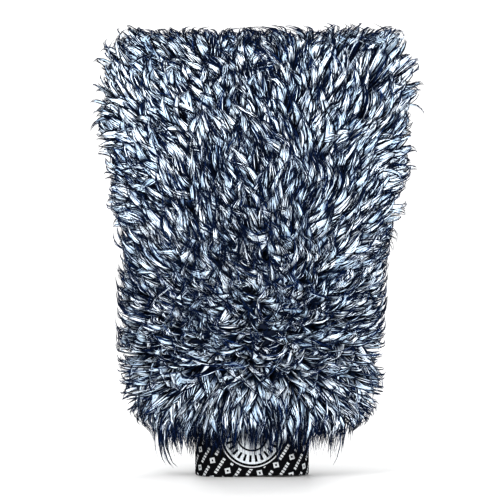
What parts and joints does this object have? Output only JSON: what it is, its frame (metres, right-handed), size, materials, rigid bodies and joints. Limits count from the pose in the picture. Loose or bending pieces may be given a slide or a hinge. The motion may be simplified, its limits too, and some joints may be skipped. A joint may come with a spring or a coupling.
{
  "type": "wash mitt",
  "caption": "Long-pile microfibre wash mitt with a lining bag, a gathered neck and an open elastic wrist cuff that folds to the front and back.",
  "frame": {"origin": "centre of the box's bottom, on the plane of the elastic cuff's lower rim that the mitt stands on", "axes": "+Z from the cuff to the finger end, -Y out of the front face, +X to the right as the front face is looked at"},
  "size_m": [0.2, 0.0784, 0.287],
  "materials": {
    "pile": "long split-fibre microfibre pile, white and pale blue with navy tips and strands",
    "backing": "knitted polyester ground cloth",
    "lining": "plain woven polyester lining",
    "elastic": "ribbed woven elastic with a white print",
    "thread": "textured polyester overlock thread",
    "label": "blank woven satin tape"
  },
  "bodies": {
    "shell": {"front_pile": "pile", "back_pile": "pile", "front_backing": "backing", "back_backing": "backing", "front_lining": "lining", "back_lining": "lining", "perimeter_seam": "thread", "neck_gather": "backing"},
    "wrist_band": {"cuff": "elastic", "cuff_seam": "thread", "cuff_side_seam": "thread", "care_label": "label"}
  },
  "joints": [
    {"name": "wrist_flex", "type": "hinge", "parent": "shell", "child": "wrist_band", "pos_m": [0, 0, 0.04], "axis": [1, 0, 0], "range_deg": [-45, 45], "deforming": ["neck_gather"]}
  ]
}
